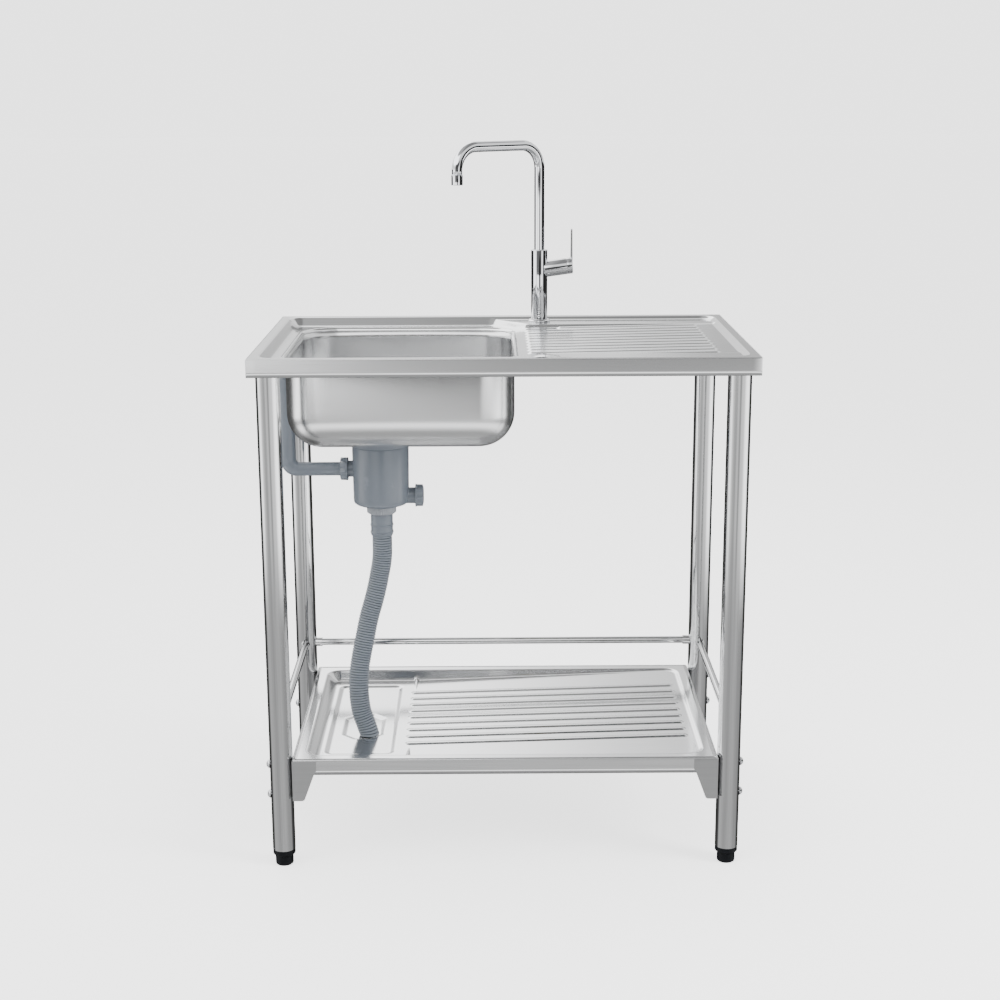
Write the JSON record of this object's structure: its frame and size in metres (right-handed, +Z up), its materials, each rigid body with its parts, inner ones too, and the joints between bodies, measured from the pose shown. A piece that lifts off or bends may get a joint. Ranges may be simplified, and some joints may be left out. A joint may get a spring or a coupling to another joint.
{
  "type": "free-standing kitchen sink unit",
  "caption": "Free-standing stainless sink unit: bowl and ribbed drainer on tubular legs, undershelf, side-lever tap with swivel spout, plastic waste kit and ribbed hose.",
  "frame": {"origin": "on the floor, under the middle of the sink top", "axes": "+X to the right of the person at the sink, +Y to the rear where the tap stands, +Z up"},
  "size_m": [0.8, 0.5, 1.176],
  "materials": {
    "deck_steel": "satin pressed stainless steel",
    "bright_steel": "bright smooth stainless steel",
    "chrome": "mirror chrome plating",
    "grey_plastic": "smooth grey moulded plastic",
    "light_plastic": "smooth light grey moulded plastic",
    "black_plastic": "fine matt black moulded plastic",
    "rubber": "plain black rubber",
    "brass": "turned brass"
  },
  "bodies": {
    "frame": {"sink_top": "deck_steel", "bowl": "deck_steel", "leg_socket_front_left": "deck_steel", "leg_socket_front_right": "deck_steel", "leg_socket_rear_left": "deck_steel", "leg_socket_rear_right": "deck_steel", "leg_front_left": "bright_steel", "leg_front_right": "bright_steel", "leg_rear_left": "bright_steel", "leg_rear_right": "bright_steel", "foot_insert_front_left": "black_plastic", "foot_insert_front_right": "black_plastic", "foot_insert_rear_left": "black_plastic", "foot_insert_rear_right": "black_plastic", "rear_rail": "bright_steel", "left_rail": "bright_steel", "right_rail": "bright_steel", "rail_cups": "bright_steel", "shelf": "bright_steel", "shelf_bracket_left": "deck_steel", "shelf_bracket_right": "deck_steel", "leg_bolts": "chrome", "leg_nuts": "chrome", "waste_flange": "bright_steel", "waste_gasket": "rubber", "pot_collar": "grey_plastic", "drain_pot": "grey_plastic", "overflow_nut": "grey_plastic", "overflow_seal": "rubber", "overflow_pipe": "grey_plastic", "overflow_head": "grey_plastic", "overflow_gasket": "rubber", "overflow_rosette": "bright_steel", "branch_cap": "grey_plastic", "outlet_nut": "light_plastic", "hose_cuff": "grey_plastic", "drain_hose": "grey_plastic", "tap_hole_cover": "bright_steel", "cover_nut": "black_plastic", "tap_ring": "chrome", "tap_body": "chrome", "tap_shank": "brass", "tap_washer": "rubber", "tap_nut": "brass", "spout_bush": "light_plastic", "cartridge": "light_plastic", "cartridge_dome": "chrome"},
    "spout": {"spout": "chrome", "aerator": "chrome", "aerator_insert": "light_plastic"},
    "mixer": {"cartridge_rotor": "light_plastic"},
    "lever": {"lever_stem": "deck_steel", "lever_hub": "chrome", "lever_blade": "chrome"},
    "basket": {"strainer_basket": "bright_steel"},
    "foot_front_left": {"foot_front_left": "black_plastic"},
    "foot_front_right": {"foot_front_right": "black_plastic"},
    "foot_rear_left": {"foot_rear_left": "black_plastic"},
    "foot_rear_right": {"foot_rear_right": "black_plastic"}
  },
  "joints": [
    {"name": "spout_swivel", "type": "hinge", "parent": "frame", "child": "spout", "pos_m": [0.0675, 0.2, 0.97], "axis": [0, 0, 1], "continuous": true},
    {"name": "lever_mix", "type": "hinge", "parent": "frame", "child": "mixer", "pos_m": [0.0675, 0.2, 0.948], "axis": [0.9888, 0.0865, 0.1219], "range_deg": [-45, 45]},
    {"name": "lever_flow", "type": "hinge", "parent": "mixer", "child": "lever", "pos_m": [0.10408, 0.2032, 0.95251], "axis": [-0.0872, 0.9962, 0], "range_deg": [0, 20]},
    {"name": "basket_lift", "type": "slide", "parent": "frame", "child": "basket", "axis": [0, 0, 1], "range_m": [0, 0.22]},
    {"name": "foot_screw_front_left", "type": "slide", "parent": "frame", "child": "foot_front_left", "axis": [0, 0, -1], "range_m": [0, 0.015]},
    {"name": "foot_screw_front_right", "type": "slide", "parent": "frame", "child": "foot_front_right", "axis": [0, 0, -1], "range_m": [0, 0.015]},
    {"name": "foot_screw_rear_left", "type": "slide", "parent": "frame", "child": "foot_rear_left", "axis": [0, 0, -1], "range_m": [0, 0.015]},
    {"name": "foot_screw_rear_right", "type": "slide", "parent": "frame", "child": "foot_rear_right", "axis": [0, 0, -1], "range_m": [0, 0.015]}
  ]
}
